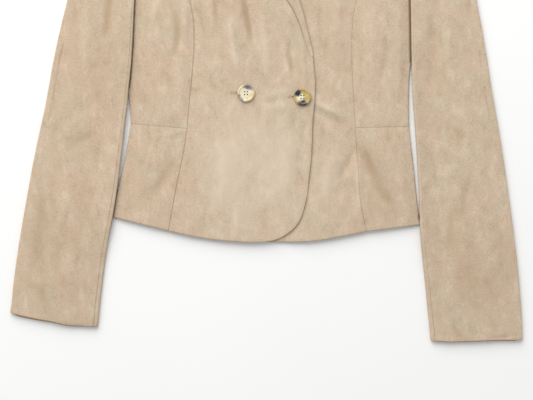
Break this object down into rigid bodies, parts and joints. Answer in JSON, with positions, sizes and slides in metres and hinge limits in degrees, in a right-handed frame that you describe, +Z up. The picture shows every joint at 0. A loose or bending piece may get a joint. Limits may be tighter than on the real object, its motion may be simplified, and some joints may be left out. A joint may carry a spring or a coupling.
{
  "type": "suede jacket",
  "caption": "Cropped double-breasted jacket in tan suede with princess seams, waist-seamed side panels, two-piece sleeves and turned-back lapels, laid flat.",
  "frame": {"origin": "on the surface that the jacket lies on, under the middle of its outline", "axes": "+X to the wearer's left, +Y from the hem to the neck, +Z up off the surface"},
  "size_m": [0.734, 0.67, 0.0111],
  "materials": {
    "suede": "matte napped suede",
    "horn_cream": "polished horn look",
    "horn_khaki": "polished horn look"
  },
  "bodies": {
    "root": {"back": "suede", "front_right": "suede", "front_left": "suede", "side_front_right": "suede", "side_front_left": "suede", "peplum_right": "suede", "peplum_left": "suede", "upper_sleeve_right": "suede", "upper_sleeve_left": "suede", "under_sleeve_right": "suede", "under_sleeve_left": "suede", "lapel_right": "suede", "lapel_left": "suede", "button_right": "horn_cream", "button_left": "horn_khaki"}
  },
  "joints": []
}
